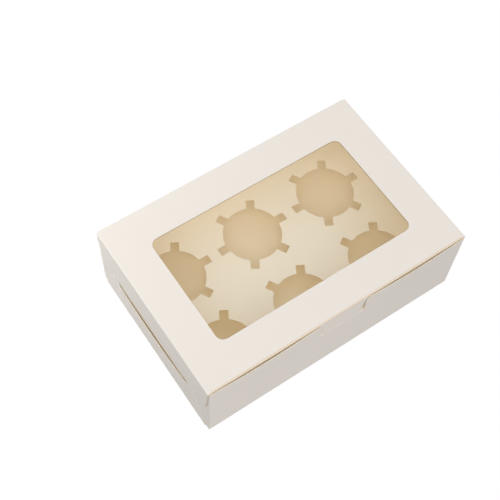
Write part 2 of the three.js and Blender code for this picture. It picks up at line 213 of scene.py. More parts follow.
class StudioSettings(PropertyGroup):
    """Camera, lamps, sky and floor."""

    camera_height: length("height of the camera", 0.7441)
    camera_side: length("camera's distance to the left", 0.2547)
    camera_front: length("camera's distance to the front", 0.2878)
    azimuth: tilt("Azimuth", "direction of view about the vertical", -37.951)
    elevation: tilt("Elevation", "angle of view above the horizon", 61.247)
    roll: tilt("Roll", "turn of the camera about its line of sight", 4.393)
    lens: FloatProperty(name="Lens", description="focal length in millimetres on a 36 mm frame",
                        default=71.43, min=1)
    shift: FloatProperty(name="Shift", description="shift of the picture as a share of its width",
                         default=0.0016)
    sky: amount("Sky", "strength of the even light", 1.76)
    bright_side: FloatVectorProperty(name="Bright side", description="direction from which more "
                                     "of the even light comes, longer for more of it",
                                     default=(0.20, -0.36, 0.0), size=3)
    side_light: colour("colour of the light from the sides", (1.0, 0.93, 0.94))
    top_light: colour("colour of the light from above", (0.13, 0.137, 0.137))
    lamp: amount("Lamp", "power of the soft lamp in watts", 18.0)
    far_lamp: amount("Far lamp", "power of the soft lamp at the back right", 8.0)
    lamp_size: length("width of the two soft lamps", 1.9)
    side_lamp: amount("Side lamp", "power of the low lamp at the back left", 1.08)
    side_lamp_size: length("width of the low lamp at the back left", 0.20)
    front_lamp: amount("Front lamp", "power of the low lamp in front", 0.42)
    front_lamp_size: length("width of the low lamp in front", 0.12)
    haze: amount("Haze", "share of the even light that is left at the horizon", 0.05)
    haze_top: amount("Haze top", "height of a direction from which all of it is left", 0.50)
    floor: colour("floor", (0.04, 0.038, 0.038))
    floor_lift: amount("Floor lift", "light that the camera sees in the floor itself", 0.96)


def ease(t):
    """A smooth step from 0 to 1: three t squared less two t cubed."""
    s = np.clip(t, 0, 1)
    return s * s * (3 - 2 * s)


def spaced(start, stop, step):
    """Even steps from start to stop, none longer than step but for rounding."""
    return np.linspace(start, stop, math.ceil(abs(stop - start) / step - WELD) + 1)


def from_fold(start, stop, step):
    """Steps from a fold at start to stop, with two close ones beside the fold."""
    way = math.copysign(1, stop - start)
    near = [start + way * gap for gap in NEAR_FOLD]
    return np.concatenate([[start], near[:1], spaced(near[1], stop, step)])


def lerp(a, b, t):
    """The point a share t of the way from a to b."""
    return a + (b - a) * t


def places(sizes):
    """The sizes with the places that follow from them and from the frame's boxes."""
    lid_low, lid_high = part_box("lid")
    base_low, base_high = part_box("carton_base")
    insert_low, insert_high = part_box("cupcake_insert")
    film_low, film_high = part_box("window_film")
    p = SimpleNamespace(**{key: getattr(sizes, key) for key in CartonSizes.__annotations__})
    p.half_length = lid_high.x
    p.half_width = base_high.y
    p.height = lid_high.z
    p.wall_top = base_high.z
    p.layer = p.height - p.wall_top
    p.gap = p.layer - p.board
    p.dust_face = p.half_length - p.layer
    p.wall_end = p.dust_face - p.crease
    p.wall_foot = p.half_width - p.crease
    p.floor_end = p.half_length - p.crease
    p.front_bow = -base_low.y - p.half_width
    p.pocket_slack = base_high.x - p.half_length - p.layer
    p.tongue_end = lid_low.z
    p.lid_back = lid_high.y
    p.lid_front = p.half_width - p.layer
    p.flap_back = p.lid_back - p.corner_relief
    p.slit_foot = p.height - p.slit_depth
    p.slit_inner = p.slit_offset - p.slit_width / 2
    p.slit_outer = p.slit_offset + p.slit_width / 2
    p.tuck_end = p.wall_end - p.tuck_inset
    p.tuck_foot = p.height - p.tuck_depth
    p.tuck_radius = p.half_width + p.lid_front
    p.insert_end = insert_high.x
    p.insert_side = insert_high.y
    p.insert_top = insert_high.z
    p.insert_foot = insert_low.z
    p.film_length = film_high.x
    p.film_width = film_high.y
    p.film_top = film_high.z
    p.film_foot = film_low.z
    webs = p.hole_web * (HOLES_ALONG - 1)
    p.notch_reach = (2 * (p.insert_end - p.hole_margin) - webs) / (2 * HOLES_ALONG)
    p.hole_radius = p.notch_reach - p.notch_length
    p.pitch_along = 2 * p.notch_reach + p.hole_web
    rise = (p.end_height - p.end_corner) * math.sin(p.end_taper)
    p.lip_half = p.end_foot - (p.end_corner + rise) / math.cos(p.end_taper)
    return p


def patch(us, vs, place, facing, fold_shade_share=0.0):
    """A grid of quads over place(u, v), turned to face the way that facing points."""
    u, v = np.meshgrid(us, vs)
    x, y, z = np.broadcast_arrays(*place(u, v))
    points = np.stack([x, y, z], axis=-1).reshape(-1, 3).astype(float)
    index = np.arange(u.size).reshape(u.shape)
    corners = [index[:-1, :-1], index[:-1, 1:], index[1:, 1:], index[1:, :-1]]
    quads = np.stack([c.ravel() for c in corners], axis=1)
    if np.dot(face_normals(points, quads).sum(axis=0), facing) < 0:
        quads = quads[:, ::-1]
    return points, quads, np.full(len(points), fold_shade_share)


def face_normals(points, quads):
    """The cross product of each quad's diagonals, which grows with its area."""
    a, b, c, d = (points[quads[:, i]] for i in range(4))
    return np.cross(c - a, d - b)


def unit(vectors):
    """Each vector divided by its own length."""
    return vectors / np.linalg.norm(vectors, axis=-1, keepdims=True)


def weld(patches):
    """One grid mesh from patches that meet edge to edge: points in one place become one."""
    points = np.concatenate([own for own, _, _ in patches])
    starts = np.cumsum([0] + [len(own) for own, _, _ in patches[:-1]])
    quads = np.concatenate([own + start for (_, own, _), start in zip(patches, starts)])
    fold_shade_share = np.concatenate([own for _, _, own in patches])
    keys = np.round(points / WELD).astype(np.int64)
    _, first, number = np.unique(keys, axis=0, return_index=True, return_inverse=True)
    number = number.reshape(-1)
    joined = np.zeros(len(first))
    np.maximum.at(joined, number, fold_shade_share)
    return points[first], number[quads], joined


def thicken(patches, board):
    """The outer face, the same face set in by the board's thickness along its normals, and a
    rim of quads along every edge that only one face has."""
    points, quads, fold_shade_share = weld(patches)
    normals = np.zeros_like(points)
    np.add.at(normals, quads.ravel(), np.repeat(face_normals(points, quads), 4, axis=0))
    inner = points - unit(normals) * board
    count = len(points)
    sides = np.stack([quads, np.roll(quads, -1, axis=1)], axis=-1).reshape(-1, 2)
    forward = sides[:, 0] * count + sides[:, 1]
    backward = sides[:, 1] * count + sides[:, 0]
    start, end = sides[~np.isin(forward, backward)].T
    rim = np.stack([end, start, start + count, end + count], axis=1)
    faces = np.concatenate([quads, quads[:, ::-1] + count, rim])
    kinds = np.repeat([OUTER, INNER, EDGE], [len(quads), len(quads), len(rim)])
    return np.concatenate([points, inner]), faces, kinds, np.concatenate([fold_shade_share, fold_shade_share])


def mesh_object(name, points, faces, kinds, fold_shade_share, materials):
    """A mesh object at the origin, smooth but for its cut edges."""
    mesh = bpy.data.meshes.new(name)
    mesh.vertices.add(len(points))
    mesh.vertices.foreach_set("co", points.astype(np.float32).ravel())
    mesh.loops.add(faces.size)
    mesh.loops.foreach_set("vertex_index", faces.astype(np.int32).ravel())
    mesh.polygons.add(len(faces))
    mesh.polygons.foreach_set("loop_start", np.arange(len(faces), dtype=np.int32) * 4)
    mesh.update(calc_edges=True)
    for material in materials:
        mesh.materials.append(material)
    mesh.polygons.foreach_set("material_index", kinds.astype(np.int32))
    mesh.polygons.foreach_set("use_smooth", np.ones(len(faces), dtype=bool))
    mesh.attributes.new("fold_shade_share", "FLOAT", "POINT").data.foreach_set("value", fold_shade_share)
    mesh.set_sharp_from_angle(angle=SHARP_ANGLE)
    mesh.update()
    piece = bpy.data.objects.new(name, mesh)
    bpy.context.scene.collection.objects.link(piece)
    return piece


def sheet(name, patches, board, materials):
    """A mesh object of one folded sheet of board."""
    return mesh_object(name, *thicken(patches, board), materials)


def bend(along, radius, place, facing, fold_shade_share=0.0):
    """A quarter round crease: place(position, sine, cosine) over the angles of the bend."""
    angles = np.linspace(0, RIGHT_ANGLE, FOLD_STEPS + 1)
    def turned(u, v):
        return place(u, radius * np.sin(v), radius * (1 - np.cos(v)))
    return patch(along, angles, turned, facing, fold_shade_share)


def round_end(run, stop, radius):
    """How far an edge draws in within one radius of stop, as a quarter circle does."""
    past = np.clip((run - stop + radius) / radius, 0, 1)
    return radius * (1 - np.sqrt(1 - past * past))


def front_bow(p, x, z):
    """A half sine along each half of the front wall, growing with the square of the height."""
    start = p.slit_outer + np.sign(x) * p.slit_shift
    along = np.clip((np.abs(x) - start) / (p.wall_end - start), 0, 1)
    up = (z - p.crease) / (p.wall_top - p.crease)
    return p.front_bow * np.sin(np.pi * along) * up * up


def tuck_inset(p, x, z):
    """The sagitta of a circle about the hinge line, eased near the middle of the front into a
    straight line that leans out to the wall's face."""
    def sag(depth):
        return p.tuck_radius - np.sqrt(p.tuck_radius**2 - depth**2)
    wing = sag(p.height - z) - sag(p.crease)
    middle = -p.layer * (p.height - p.crease - z) / (p.tuck_depth - p.crease)
    from_middle = np.abs(x - p.slit_shift)
    return lerp(wing, middle, ease((p.slit_inner - from_middle) / p.tab_blend))


def tongue_inset(p, x, z):
    """One layer behind the tuck flap, and below it a straight lean from the crease."""
    behind = p.layer + p.board + p.seam + tuck_inset(p, x, np.maximum(z, p.tuck_foot))
    lean = (z - p.slit_foot) / (p.tuck_foot - p.slit_foot)
    return behind * np.clip(lean, 0, 1)


def pocket_bulge(p, y, z):
    """A flat-topped swell where the tongue is, and a parabola over the whole mouth, both
    rising from the crease as a quarter sine up to the tongue's tip."""
    mouth = ease((p.lip_half - np.abs(y)) / (p.lip_half - p.tongue_root)) * p.layer
    slack = p.pocket_slack * np.maximum(0, 1 - (y / p.lip_half) ** 2)
    up = np.clip((z - p.crease) / (p.tongue_end - p.crease), 0, 1)
    return (mouth + slack) * np.sin(up * RIGHT_ANGLE)


def half_columns(p, side):
    """Columns of one half of the front wall: a quarter ellipse at the slit, then level."""
    angle = np.linspace(0, RIGHT_ANGLE, ARC_STEPS + 1)
    slit = p.slit_outer + side * p.slit_shift
    lead_x = slit + p.lead_in_width * (1 - np.cos(angle))
    lead_top = p.wall_top - p.lead_in_drop * (1 - np.sin(angle))
    straight = spaced(slit + p.lead_in_width, p.wall_end, p.cell)[1:]
    x = np.concatenate([lead_x, straight])
    top = np.concatenate([lead_top, np.full(len(straight), p.wall_top)])
    return side * x, top


def end_columns(p):
    """Columns of an end flap: feet along its crease, heads along its lip and round corners."""
    angle = np.linspace(0, RIGHT_ANGLE - p.end_taper, ARC_STEPS + 1)[1:]
    corner_y = p.lip_half + p.end_corner * np.sin(angle)
    corner_z = p.end_height - p.end_corner * (1 - np.cos(angle))
    lip = spaced(-p.lip_half, p.lip_half, p.cell)
    head_y = np.concatenate([-corner_y[::-1], lip, corner_y])
    head_z = np.concatenate([corner_z[::-1], np.full(len(lip), p.end_height), corner_z])
    return head_y * (p.end_foot / corner_y[-1]), head_y, head_z


def base_patches(p):
    """Bottom, front and back walls, dust flaps and end flaps of the carton."""
    left_x, left_top = half_columns(p, -1)
    right_x, right_top = half_columns(p, 1)
    tab = p.slit_shift + spaced(-p.slit_inner, p.slit_inner, p.cell / 2)
    columns = np.concatenate([left_x[::-1], tab, right_x])
    foot_y, head_y, head_z = end_columns(p)
    floor_y = np.concatenate([[-p.wall_foot], foot_y, [p.wall_foot]])
    floor_x = np.concatenate([[-p.floor_end], columns, [p.floor_end]])
    lower = from_fold(p.crease, p.slit_foot, p.cell)
    rows = np.concatenate([lower, lerp(p.slit_foot, p.wall_top, WALL_ROWS[1:])])

    made = [patch(floor_x, floor_y, lambda x, y: (x, y, 0 * x), (0, 0, -1))]
    for side in (-1, 1):
        made.append(bend(columns, p.crease,
                         lambda x, s, c: (x, side * (p.wall_foot + s), c), (0, side, -1)))

    def front(x, z):
        return x, -p.half_width - front_bow(p, x, z), z

    def tongue(x, z):
        return x, tongue_inset(p, x, z) - p.half_width, z

    made.append(patch(columns, lower, front, (0, -1, 0)))
    for x, top in ((left_x, left_top), (right_x, right_top)):
        number = np.arange(len(x))
        made.append(patch(number, WALL_ROWS,
                          lambda i, v: front(x[i], lerp(p.slit_foot, top[i], v)), (0, -1, 0)))
    lean = spaced(p.slit_foot, p.tuck_foot, p.cell / 4)
    made.append(patch(tab, np.concatenate([lean, spaced(p.tuck_foot, p.wall_top, p.cell)[1:]]),
                      tongue, (0, -1, 0)))
    back_top = p.height - p.crease
    back_rows = np.concatenate([from_fold(p.crease, p.height / 2, p.cell),
                                from_fold(back_top, p.height / 2, p.cell)[-2::-1]])
    made.append(patch(columns, back_rows, lambda x, z: (x, p.half_width, z), (0, 1, 0)))

    for x_side in (-1, 1):
        for y_side, heights in ((-1, rows), (1, back_rows)):
            made.append(bend(heights, p.crease, lambda z, s, c: (
                x_side * (p.wall_end + s), y_side * (p.half_width - c), z),
                (x_side, y_side, 0)))
            made.append(dust_flap(p, x_side, y_side, heights))
        made.append(bend(foot_y, p.crease,
                         lambda y, s, c: (x_side * (p.floor_end + s), y, c), (x_side, 0, -1)))
        made.append(end_flap(p, x_side, foot_y, head_y, head_z))
    return made


def dust_flap(p, x_side, y_side, heights):
    """A straight-sided flap that tapers from its crease to a free edge with round corners."""
    run = np.concatenate([from_fold(0, p.dust_length - p.dust_corner, p.cell),
                          p.dust_length - p.dust_corner + p.dust_corner
                          * np.sin(np.linspace(0, RIGHT_ANGLE, ARC_STEPS + 1)[1:])])
    share = (heights - heights[0]) / (heights[-1] - heights[0])
    drawn = round_end(run, p.dust_length, p.dust_corner)
    low = heights[0] + p.dust_foot_rise * run / p.dust_length + drawn
    high = heights[-1] - p.dust_top_drop * run / p.dust_length - drawn
    number = np.arange(len(run))
    return patch(number, share, lambda i, t: (
        x_side * p.dust_face, y_side * (p.wall_foot - run[i]), lerp(low[i], high[i], t)),
        (x_side, 0, 0))


def end_flap(p, x_side, foot_y, head_y, head_z):
    """Straight columns from the crease to the lip, pushed out by the pocket's bulge. The
    glued sides are drawn in against the dust flaps."""
    def place(i, v):
        y = lerp(foot_y[i], head_y[i], v)
        z = lerp(p.crease, head_z[i], v)
        from_held = np.abs(y) - p.lip_half * HELD_FROM
        held = (p.gap - p.seam) * ease(from_held / (p.lip_half * HELD_RUN))
        drawn = held * ease((z - p.crease) / (HELD_RISE * p.crease))
        return x_side * (p.half_length + pocket_bulge(p, y, z) - drawn), y, z
    return patch(np.arange(len(foot_y)), POCKET_ROWS, place, (x_side, 0, 0))


def rounded_reach(angle, half_x, half_y, radius):
    """How far a ray at each angle runs inside a rounded rectangle: to a straight side, or to
    the circle of the corner that it meets."""
    c, s = np.abs(np.cos(angle)), np.abs(np.sin(angle))
    flat = np.minimum(half_x / np.maximum(c, TINY), half_y / np.maximum(s, TINY))
    cx, cy = half_x - radius, half_y - radius
    along = c * cx + s * cy
    inside = np.maximum(along**2 - (cx**2 + cy**2 - radius**2), 0)
    arc = along + np.sqrt(inside)
    in_corner = (flat * c > cx) & (flat * s > cy)
    return np.where(in_corner, arc, flat)


def ring(outer_x, outer_y, reach, shares, height, facing, centre=(0.0, 0.0)):
    """Rays from a centre, each from its reach to its point on the outer line."""
    angle = np.arctan2(outer_y - centre[1], outer_x - centre[0])
    start = reach(angle)
    inner_x = centre[0] + start * np.cos(angle)
    inner_y = centre[1] + start * np.sin(angle)
    number = np.arange(len(outer_x))
    return patch(number, shares, lambda i, v: (
        lerp(inner_x[i], outer_x[i], v), lerp(inner_y[i], outer_y[i], v), height), facing)


def closed(*sides):
    """One closed line from sides that follow each other, as two arrays."""
    points = np.concatenate([np.stack(np.broadcast_arrays(x, y), axis=1) for x, y in sides])
    points = np.concatenate([points, points[:1]])
    keep = np.ones(len(points), dtype=bool)
    keep[1:] = np.linalg.norm(np.diff(points, axis=0), axis=1) > WELD
    return points[keep].T


def tuck_columns(p):
    """Columns of the tuck flap with their lower ends, a quarter circle at each outer corner."""
    angle = np.linspace(0, RIGHT_ANGLE, ARC_STEPS + 1)
    start = p.tuck_end - p.tuck_corner
    run = spaced(0, 1, p.cell / start)[1:-1]
    curve = p.tuck_corner * (1 - np.cos(angle))
    foot = p.tuck_foot + np.concatenate([0 * run, curve])
    right, left = (np.concatenate([lerp(p.slit_inner + way * p.slit_shift, start, run),
                                   start + p.tuck_corner * np.sin(angle)]) for way in (1, -1))
    tab = p.slit_shift + spaced(-p.slit_inner, p.slit_inner, p.cell / 2)
    return (np.concatenate([-left[::-1], tab, right]),
            np.concatenate([foot[::-1], np.full(len(tab), p.tuck_foot), foot]))


def flap_columns(p):
    """Columns of a side flap: tops along its crease, feet along its shoulders and tongue."""
    end = p.half_width - p.flap_end_inset
    shoulder = p.end_height + p.shoulder_gap
    corners = [
        (-p.lid_front, p.height - p.crease, 0),
        (-end, p.end_height + p.flap_end_rise, p.flap_corner),
        (-p.tongue_root, shoulder, p.board),
        (-p.tongue_tip, p.tongue_end, p.tongue_corner),
        (p.tongue_tip, p.tongue_end, p.tongue_corner),
        (p.tongue_root, shoulder, p.board),
        (end, p.end_height + p.flap_end_rise, p.flap_corner),
        (p.flap_back, p.height - p.crease, 0),
    ]
    return rounded_line(corners, p.cell)


def rounded_line(corners, step):
    """Straight lines between corners, each corner rounded by an arc of its own radius, with
    points no further apart than step."""
    spots = np.array([corner[:2] for corner in corners])
    parts = [spots[:1]]
    for before, here, after, radius in zip(spots, spots[1:], spots[2:],
                                           [corner[2] for corner in corners[1:-1]]):
        back, on = unit(before - here), unit(after - here)
        half = math.acos(np.clip(back @ on, -1, 1)) / 2
        middle = here + unit(back + on) * radius / math.sin(half)
        start = here + back * radius / math.tan(half) - middle
        turn = math.copysign(math.pi - 2 * half, back[1] * on[0] - back[0] * on[1])
        angle = np.linspace(0, turn, ARC_STEPS + 1)[:, None]
        side = np.array([-start[1], start[0]])
        parts.append(middle + start * np.cos(angle) + side * np.sin(angle))
    parts.append(spots[-1:])
    line = [parts[0]]
    for a, b in zip(parts, parts[1:]):
        share = spaced(0, 1, step / max(np.linalg.norm(b[0] - a[-1]), step))[1:-1, None]
        line += [lerp(a[-1], b[0], share), b]
    return np.concatenate(line).T


def lid_patches(p):
    """Top panel with the window, tuck flap, and two side flaps with their tongues."""
    tuck_x, tuck_foot = tuck_columns(p)
    foot_y, foot_z = flap_columns(p)
    fold_y = p.crease - p.lid_front
    top_z = p.height - p.crease
    hinge_y = p.half_width - p.crease
    reach = (foot_y - foot_y[1]) / (foot_y[-1] - foot_y[1])
    fold_line = np.maximum.accumulate(lerp(fold_y, hinge_y, reach))
    fold_line[0] = -p.lid_front
    back_x = spaced(p.floor_end, -p.floor_end, p.cell)
    outline = closed(
        (tuck_x, fold_y),
        (p.floor_end, fold_line[1:]),
        (back_x, hinge_y),
        (-p.floor_end, fold_line[:0:-1]),
    )
    made = [ring(*outline, lambda a: rounded_reach(
        a, p.window_length / 2, p.window_width / 2, p.window_corner),
        TOP_ROWS, p.height, (0, 0, 1))]
    # Only the front fold gets the full share of painted fold shade.
    made.append(bend(tuck_x, p.crease,
                     lambda x, s, c: (x, fold_y - s, p.height - c), (0, -1, 1), fold_shade_share=1.0))
    for side in (-1, 1):
        made.append(patch([0, 1], [0, 1], lambda u, v: (
            side * lerp(p.tuck_end + v * p.corner_relief, p.floor_end, u),
            lerp(fold_y, -p.lid_front, v), p.height), (0, 0, 1)))
    def tuck(i, v):
        z = lerp(top_z, tuck_foot[i], v)
        return tuck_x[i], tuck_inset(p, tuck_x[i], z) - p.lid_front, z
    made.append(patch(np.arange(len(tuck_x)), FLAP_ROWS, tuck, (0, -1, 0)))
    for side in (-1, 1):
        made.append(bend(fold_line, p.crease,
                         lambda y, s, c: (side * (p.floor_end + s), y, p.height - c),
                         (side, 0, 1)))
        made.append(patch(np.arange(len(foot_y)), FLAP_ROWS, lambda i, v: (
            side * p.half_length, lerp(fold_line[i], foot_y[i], v),
            lerp(top_z, foot_z[i], v)), (side, 0, 0)))
    return made


def hinge_patches(p):
    """A quarter round crease from the top of the back wall to the back of the lid."""
    along = spaced(-p.wall_end, p.wall_end, p.cell)
    return [bend(along, p.crease, lambda x, s, c: (
        x, p.half_width - c, p.height - p.crease + s), (0, 1, 1))]


def hole_angles(p, corners):
    """Angles round a hole that hold every corner of its notches and of its cell."""
    half = p.notch_width / 2
    tip, root = math.atan2(half, p.notch_reach), math.asin(half / p.hole_radius)
    pitch = 2 * math.pi / NOTCHES
    one = np.concatenate([np.linspace(-tip, tip, NOTCH_TIP_POINTS),
                          np.linspace(root, pitch - root, NOTCH_GAP_POINTS)])
    turns = np.arange(NOTCHES)[:, None] * pitch
    angles = np.concatenate([(one + turns).ravel(), corners]) % (2 * math.pi)
    return np.unique(np.round(angles, TINY_DIGITS))


def hole_reach(p, angle):
    """The edge of a notched hole: the tip of a notch, then its side, then the circle."""
    pitch = 2 * math.pi / NOTCHES
    local = np.abs((angle + pitch / 2) % pitch - pitch / 2)
    half = p.notch_width / 2
    tip = p.notch_reach / np.cos(local)
    side = half / np.maximum(np.sin(local), TINY)
    return np.maximum(np.minimum(tip, side), p.hole_radius)


def hole_cell(p, centre, low, high):
    """The card round one hole: rays from the hole's edge to the four sides of its cell."""
    spots = np.array([(x, y) for x in (low[0], high[0]) for y in (low[1], high[1])])
    corners = np.arctan2(spots[:, 1] - centre[1], spots[:, 0] - centre[0])
    angle = hole_angles(p, corners)
    c, s = np.cos(angle), np.sin(angle)
    run_x = np.where(c > 0, high[0] - centre[0], low[0] - centre[0]) / np.where(c == 0, 1, c)
    run_y = np.where(s > 0, high[1] - centre[1], low[1] - centre[1]) / np.where(s == 0, 1, s)
    run = np.minimum(np.where(np.abs(c) < TINY, np.inf, run_x),
                     np.where(np.abs(s) < TINY, np.inf, run_y))
    outline = closed((centre[0] + run * c, centre[1] + run * s))
    return ring(*outline, lambda a: hole_reach(p, a), CARD_ROWS, p.insert_top, (0, 0, 1),
                centre)


def insert_patches(p):
    """The deck with its six notched holes, and a folded leg along each long side."""
    crease_y = p.insert_side - p.crease
    across = (-p.pitch_across / 2, p.pitch_across / 2)
    along = (-p.pitch_along, 0.0, p.pitch_along)
    edges = (-p.insert_end, -p.pitch_along / 2, p.pitch_along / 2, p.insert_end)
    made = []
    for x, low_x, high_x in zip(along, edges, edges[1:]):
        made.append(hole_cell(p, (x, across[0]), (low_x, -crease_y), (high_x, 0.0)))
        made.append(hole_cell(p, (x, across[1]), (low_x, 0.0), (high_x, crease_y)))
    points = np.concatenate([own for own, _, _ in made])
    for side in (-1, 1):
        on_edge = np.abs(points[:, 1] - side * crease_y) < WELD
        along_x = np.unique(np.round(points[on_edge, 0], TINY_DIGITS))
        made.append(bend(along_x, p.crease, lambda x, s, c: (
            x, side * (crease_y + s), p.insert_top - c), (0, side, 1)))
        rows = from_fold(p.insert_top - p.crease, p.insert_foot, p.cell)
        made.append(patch(along_x, rows, lambda x, z: (x, side * p.insert_side, z),
                          (0, side, 0)))
    return made


def film_patches(p):
    """A flat rectangle whose columns shorten over the rounded corners."""
    straight = spaced(0, p.film_length - p.film_corner, 2 * p.cell)
    angle = np.linspace(0, RIGHT_ANGLE, ARC_STEPS + 1)[1:]
    half = np.concatenate([straight, p.film_length - p.film_corner * (1 - np.sin(angle))])
    x = np.concatenate([-half[:0:-1], half])
    top = p.film_width - round_end(np.abs(x), p.film_length, p.film_corner)
    return [patch(np.arange(len(x)), FILM_ROWS, lambda i, v: (x[i], v * top[i], p.film_top),
                  (0, 0, 1))]


def glue_patches(p):
    """A flat band from the window's edge outwards, just above the film."""
    turn = np.linspace(-math.pi, math.pi, GLUE_STEPS + 1)
    inner = rounded_reach(turn, p.window_length / 2, p.window_width / 2, p.window_corner)
    level = p.height - p.board - p.seam
    return [patch(turn, [0, 1], lambda a, v: (
        (inner[None, :] + v * p.glue_width) * np.cos(a),
        (inner[None, :] + v * p.glue_width) * np.sin(a), level), (0, 0, 1))]


def socket(group, name, way, default=None):
    """A named value that goes into or comes out of a shader node group."""
    made = group.interface.new_socket(name=name, in_out=way, socket_type="NodeSocketFloat")
    if default is not None:
        made.default_value = default
    return made


def board_grain_group():
    """Paper grain from object coordinates: a soft cloudiness, a fine tooth, and long fibres
    that run with the board. Tone is about 0.5 and Height is in shares of the tooth."""
    group = bpy.data.node_groups.new("board_grain", "ShaderNodeTree")
    socket(group, "Cloud Scale", "INPUT", default=60)
    socket(group, "Tooth Scale", "INPUT", default=2200)
    socket(group, "Fibre Amount", "INPUT", default=0.3)
    socket(group, "Tone", "OUTPUT")
    socket(group, "Height", "OUTPUT")
    nodes, links = group.nodes, group.links
    given, out = nodes.new("NodeGroupInput"), nodes.new("NodeGroupOutput")
    where = nodes.new("ShaderNodeTexCoord")
    cloud, tooth = noise(nodes, detail=3), noise(nodes, detail=2)
    stretch = nodes.new("ShaderNodeMapping")
    stretch.inputs["Scale"].default_value = FIBRE_STRETCH
    fibre = noise(nodes, detail=4)
    for made in (cloud, tooth, stretch):
        links.new(where.outputs["Object"], made.inputs["Vector"])
    links.new(stretch.outputs["Vector"], fibre.inputs["Vector"])
    for made, scale in ((cloud, "Cloud Scale"), (tooth, "Tooth Scale"), (fibre, "Tooth Scale")):
        links.new(given.outputs[scale], made.inputs["Scale"])
    fibres = maths(nodes, links, "MULTIPLY", fibre.outputs["Fac"], given.outputs["Fibre Amount"])
    left = maths(nodes, links, "SUBTRACT", 1.0, given.outputs["Fibre Amount"])
    clouds = maths(nodes, links, "MULTIPLY", cloud.outputs["Fac"], left)
    links.new(maths(nodes, links, "ADD", clouds, fibres), out.inputs["Tone"])
    rough = maths(nodes, links, "MULTIPLY", fibres, FIBRE_BUMP)
    links.new(maths(nodes, links, "ADD", tooth.outputs["Fac"], rough), out.inputs["Height"])
    return group


def noise(nodes, detail):
    """A noise texture with this many finer layers."""
    made = nodes.new("ShaderNodeTexNoise")
    made.inputs["Detail"].default_value = detail
    return made


def maths(nodes, links, operation, first, second):
    """The output of a maths node fed by two values or sockets."""
    made = nodes.new("ShaderNodeMath")
    made.operation = operation
    for slot, value in zip(made.inputs, (first, second)):
        if isinstance(value, (int, float)):
            slot.default_value = value
        else:
            links.new(value, slot)
    return made.outputs["Value"]


def fill(node, values):
    """Set a node's inputs by their names."""
    for name, value in values.items():
        node.inputs[name].default_value = value


def blended(nodes, links, share, first, second):
    """A colour that goes from the first to the second with the share, each a colour or a
    socket."""
    made = nodes.new("ShaderNodeMix")
    made.data_type = "RGBA"
    links.new(share, made.inputs["Factor"])
    for side, paint in (("A", first), ("B", second)):
        if isinstance(paint, bpy.types.NodeSocket):
            links.new(paint, made.inputs[side])
        else:
            made.inputs[side].default_value = (*paint, 1)
    return made.outputs["Result"]


def blank_material(name):
    """A material with its Principled shader, its nodes and its links."""
    material = bpy.data.materials.new(name)
    material.use_nodes = True
    nodes, links = material.node_tree.nodes, material.node_tree.links
    return material, nodes, links, nodes["Principled BSDF"]


def board_material(name, grain, paint, contrast, roughness, height, cloud, tooth, fibre,
                   painted_glow=(0, 0, 0), fold_shade_colour=None):
    """Board: its colour moves a little with the grain, the grain is a fine bump, a painted glow
    of emission may stand in for light through the thin board, and the mesh's share of
    painted fold shade may turn it towards the fold's shade colour."""
    material, nodes, links, shader = blank_material(name)
    texture = nodes.new("ShaderNodeGroup")
    texture.node_tree = grain
    fill(texture, {"Cloud Scale": cloud, "Tooth Scale": tooth, "Fibre Amount": fibre})
    base = np.array(paint)
    painted = blended(nodes, links, texture.outputs["Tone"],
                      np.clip(base * (1 - contrast), 0, 1), np.clip(base * (1 + contrast), 0, 1))
    # The attribute's share blends in the painted shade of the front fold.
    if fold_shade_colour is not None:
        share = nodes.new("ShaderNodeAttribute")
        share.attribute_name = "fold_shade_share"
        painted = blended(nodes, links, share.outputs["Fac"], painted, fold_shade_colour)
    links.new(painted, shader.inputs["Base Color"])
    rough = nodes.new("ShaderNodeMapRange")
    fill(rough, {"To Min": roughness - ROUGHNESS_SPREAD, "To Max": roughness + ROUGHNESS_SPREAD})
    links.new(texture.outputs["Tone"], rough.inputs["Value"])
    links.new(rough.outputs["Result"], shader.inputs["Roughness"])
    # The emission is a painted glow that lights the board from within, in place of light through
    # it.
    fill(shader, {"Specular IOR Level": BOARD_SPECULAR, "Emission Color": (*painted_glow, 1),
                  "Emission Strength": 1})
    bump = nodes.new("ShaderNodeBump")
    fill(bump, {"Strength": GRAIN_BUMP, "Distance": height})
    links.new(texture.outputs["Height"], bump.inputs["Height"])
    links.new(bump.outputs["Normal"], shader.inputs["Normal"])
    return material


def film_material(name, paint):
    """Clear film: almost see-through when faced, with more of its gloss at a slant."""
    material, nodes, links, shader = blank_material(name)
    fill(shader, {"Base Color": (*paint, 1), "Roughness": 0.08, "IOR": 1.5})
    slant = nodes.new("ShaderNodeLayerWeight")
    fill(slant, {"Blend": 0.25})
    cover = nodes.new("ShaderNodeMapRange")
    fill(cover, {"To Min": 0.01, "To Max": 0.12})
    links.new(slant.outputs["Facing"], cover.inputs["Value"])
    links.new(cover.outputs["Result"], shader.inputs["Alpha"])
    return material


def shaded_glue_material(name, paint):
    """Dull glue whose dark brown is painted shade under the window's edge."""
    material, _, _, shader = blank_material(name)
    fill(shader, {"Base Color": (*paint, 1), "Roughness": 0.6})
    return material


